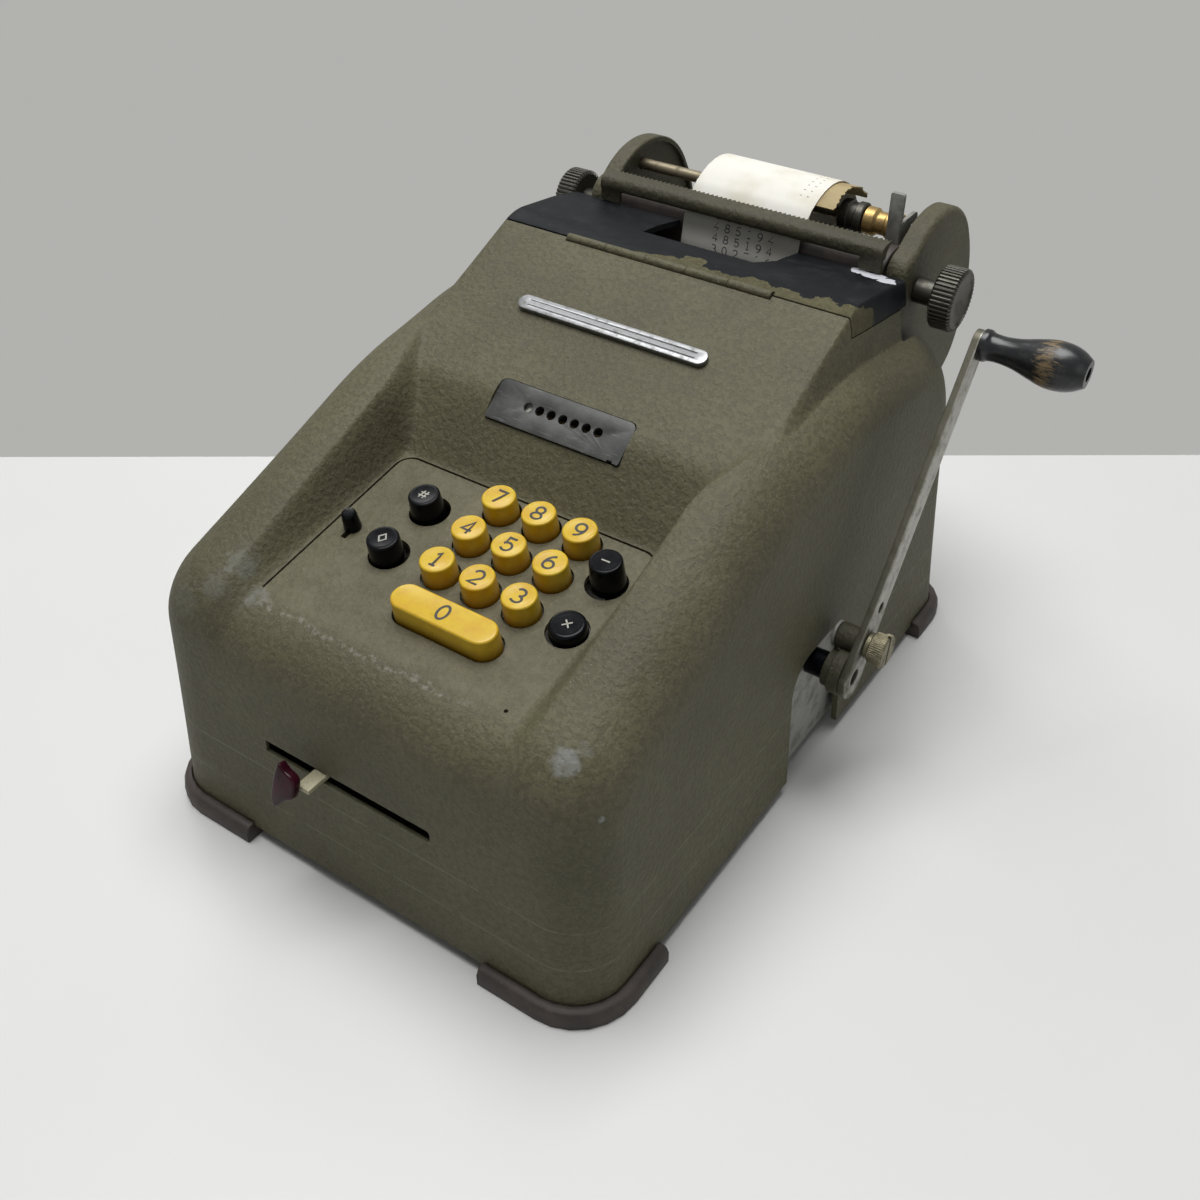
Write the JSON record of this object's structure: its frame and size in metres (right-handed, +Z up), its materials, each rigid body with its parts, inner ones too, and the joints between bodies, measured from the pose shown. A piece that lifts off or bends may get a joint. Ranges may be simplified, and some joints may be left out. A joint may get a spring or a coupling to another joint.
{
  "type": "hand-cranked ten-key adding machine",
  "caption": "Hand-cranked printing adding machine with a ten-key keyboard, hinged rear lid, platen and paper strip.",
  "frame": {"origin": "centre of the whole object's box in plan, at table level under the feet", "axes": "+X to the crank side, +Y from the keyboard to the platen, +Z up"},
  "size_m": [0.279, 0.3576, 0.208],
  "materials": {
    "crinkle_paint": "fine crinkle paint, worn",
    "lid_coating": "smooth satin coating, peeling at its edges",
    "amber_key": "gloss",
    "black_key": "gloss",
    "window_metal": "dull dark grey, scratched",
    "bright_trim": "polished, dusty",
    "steel": "dull, stained",
    "brass": "dull, stained",
    "rubber": "matte, aged dark brown",
    "white_paper": "matte",
    "brown_paper": "matte",
    "maroon_knob": "gloss",
    "cream_lever": "satin, worn",
    "dark_wood": "worn gloss black paint over brown wood"
  },
  "bodies": {
    "case": {"case_cover": "crinkle_paint", "keyboard_plate": "crinkle_paint", "window_plate": "window_metal", "trim_bar": "bright_trim", "base_plate": "steel", "foot_front_left": "rubber", "foot_front_right": "rubber", "foot_rear_left": "rubber", "foot_rear_right": "rubber", "left_frame": "steel", "right_frame": "steel", "key_guide": "steel", "carriage_rail": "steel", "spool_deck": "steel", "wall_plate": "steel", "hinge_pin": "crinkle_paint", "carrier_plate": "steel", "left_bracket": "crinkle_paint", "right_bracket": "crinkle_paint", "paper_rod": "steel", "paper_strip": "white_paper", "paper_leader": "brown_paper"},
    "lid": {"rear_lid": "lid_coating", "tear_bar": "crinkle_paint"},
    "platen": {"platen": "rubber", "left_knob": "steel", "right_knob": "steel"},
    "roll": {"roll_hub": "window_metal", "rod_collar": "brass"},
    "rod_arm": {"rod_arm": "steel"},
    "crank": {"crank_shaft": "steel", "shaft_collar": "black_key", "crank_hub": "crinkle_paint", "crank_arm": "steel", "clamp_screw": "brass"},
    "handle": {"crank_handle": "dark_wood"},
    "front_lever": {"lever_tab": "cream_lever", "lever_knob": "maroon_knob"},
    "deck_lever": {"deck_lever": "black_key"},
    "pin_carriage": {"pin_carriage": "steel", "column_pointer": "white_paper"},
    "sectors": {"type_sectors": "steel"},
    "register": {"register_pinions": "brass"},
    "left_spool": {"ribbon_spool_left": "window_metal"},
    "right_spool": {"ribbon_spool_right": "window_metal"},
    "key_0": {"key_0": "amber_key"},
    "key_1": {"key_1": "amber_key"},
    "key_2": {"key_2": "amber_key"},
    "key_3": {"key_3": "amber_key"},
    "key_4": {"key_4": "amber_key"},
    "key_5": {"key_5": "amber_key"},
    "key_6": {"key_6": "amber_key"},
    "key_7": {"key_7": "amber_key"},
    "key_8": {"key_8": "amber_key"},
    "key_9": {"key_9": "amber_key"},
    "key_non_add": {"key_non_add": "black_key"},
    "key_sub_total": {"key_sub_total": "black_key"},
    "key_subtract": {"key_subtract": "black_key"},
    "key_repeat": {"key_repeat": "black_key"}
  },
  "joints": [
    {"name": "lid_hinge", "type": "hinge", "parent": "case", "child": "lid", "pos_m": [-0.026, 0.0444, 0.1885], "axis": [1, 0, 0], "range_deg": [0, 70]},
    {"name": "platen_turn", "type": "hinge", "parent": "case", "child": "platen", "pos_m": [-0.023, 0.1113, 0.174], "axis": [1, 0, 0], "continuous": true},
    {"name": "roll_turn", "type": "hinge", "parent": "case", "child": "roll", "pos_m": [0.019, 0.1318, 0.189], "axis": [1, 0, 0], "continuous": true},
    {"name": "rod_arm_swing", "type": "hinge", "parent": "case", "child": "rod_arm", "pos_m": [0.044, 0.1318, 0.189], "axis": [1, 0, 0], "range_deg": [-35, 0]},
    {"name": "crank_pull", "type": "hinge", "parent": "case", "child": "crank", "pos_m": [0.074, 0.0008, 0.0582], "axis": [1, 0, 0], "range_deg": [0, 75], "stiffness_Nm_per_rad": 0.5, "springref_deg": -17.19},
    {"name": "handle_spin", "type": "hinge", "parent": "crank", "child": "handle", "pos_m": [0.114, 0.08208, 0.17342], "axis": [1, 0, 0], "continuous": true},
    {"name": "front_lever_slide", "type": "slide", "parent": "case", "child": "front_lever", "axis": [1, 0, 0], "range_m": [-0.022, 0.049]},
    {"name": "deck_lever_slide", "type": "slide", "parent": "case", "child": "deck_lever", "axis": [0, -0.9852, -0.1716], "range_m": [0, 0.0048]},
    {"name": "pin_carriage_slide", "type": "slide", "parent": "case", "child": "pin_carriage", "axis": [1, 0, 0], "range_m": [0, 0.0333]},
    {"name": "sector_swing", "type": "hinge", "parent": "case", "child": "sectors", "pos_m": [-0.0215, 0.0698, 0.112], "axis": [1, 0, 0], "range_deg": [-24, 0]},
    {"name": "register_turn", "type": "hinge", "parent": "case", "child": "register", "pos_m": [-0.026, 0.0338, 0.1], "axis": [1, 0, 0], "range_deg": [0, 60]},
    {"name": "left_spool_turn", "type": "hinge", "parent": "case", "child": "left_spool", "pos_m": [-0.078, 0.0678, 0.155], "axis": [0, 0, 1], "continuous": true},
    {"name": "right_spool_turn", "type": "hinge", "parent": "case", "child": "right_spool", "pos_m": [0.026, 0.0678, 0.155], "axis": [0, 0, 1], "continuous": true},
    {"name": "key_0_press", "type": "slide", "parent": "case", "child": "key_0", "axis": [0, 0.1716, -0.9852], "range_m": [0, 0.0045], "stiffness_N_per_m": 200, "springref_m": -0.002},
    {"name": "key_1_press", "type": "slide", "parent": "case", "child": "key_1", "axis": [0, 0.1716, -0.9852], "range_m": [0, 0.0045], "stiffness_N_per_m": 200, "springref_m": -0.002},
    {"name": "key_2_press", "type": "slide", "parent": "case", "child": "key_2", "axis": [0, 0.1716, -0.9852], "range_m": [0, 0.0045], "stiffness_N_per_m": 200, "springref_m": -0.002},
    {"name": "key_3_press", "type": "slide", "parent": "case", "child": "key_3", "axis": [0, 0.1716, -0.9852], "range_m": [0, 0.0045], "stiffness_N_per_m": 200, "springref_m": -0.002},
    {"name": "key_4_press", "type": "slide", "parent": "case", "child": "key_4", "axis": [0, 0.1716, -0.9852], "range_m": [0, 0.0045], "stiffness_N_per_m": 200, "springref_m": -0.002},
    {"name": "key_5_press", "type": "slide", "parent": "case", "child": "key_5", "axis": [0, 0.1716, -0.9852], "range_m": [0, 0.0045], "stiffness_N_per_m": 200, "springref_m": -0.002},
    {"name": "key_6_press", "type": "slide", "parent": "case", "child": "key_6", "axis": [0, 0.1716, -0.9852], "range_m": [0, 0.0045], "stiffness_N_per_m": 200, "springref_m": -0.002},
    {"name": "key_7_press", "type": "slide", "parent": "case", "child": "key_7", "axis": [0, 0.1716, -0.9852], "range_m": [0, 0.0045], "stiffness_N_per_m": 200, "springref_m": -0.002},
    {"name": "key_8_press", "type": "slide", "parent": "case", "child": "key_8", "axis": [0, 0.1716, -0.9852], "range_m": [0, 0.0045], "stiffness_N_per_m": 200, "springref_m": -0.002},
    {"name": "key_9_press", "type": "slide", "parent": "case", "child": "key_9", "axis": [0, 0.1716, -0.9852], "range_m": [0, 0.0045], "stiffness_N_per_m": 200, "springref_m": -0.002},
    {"name": "key_non_add_press", "type": "slide", "parent": "case", "child": "key_non_add", "axis": [0, 0.1716, -0.9852], "range_m": [0, 0.0045], "stiffness_N_per_m": 200, "springref_m": -0.002},
    {"name": "key_sub_total_press", "type": "slide", "parent": "case", "child": "key_sub_total", "axis": [0, 0.1716, -0.9852], "range_m": [0, 0.0045], "stiffness_N_per_m": 200, "springref_m": -0.002},
    {"name": "key_subtract_press", "type": "slide", "parent": "case", "child": "key_subtract", "axis": [0, 0.1716, -0.9852], "range_m": [0, 0.0045], "stiffness_N_per_m": 200, "springref_m": -0.002},
    {"name": "key_repeat_press", "type": "slide", "parent": "case", "child": "key_repeat", "axis": [0, 0.1716, -0.9852], "range_m": [0, 0.0035], "stiffness_N_per_m": 200, "springref_m": -0.002}
  ],
  "couplings": [
    {"joint": "sector_swing", "follows": "crank_pull", "ratio": -0.32},
    {"joint": "register_turn", "follows": "crank_pull", "ratio": 0.8}
  ]
}
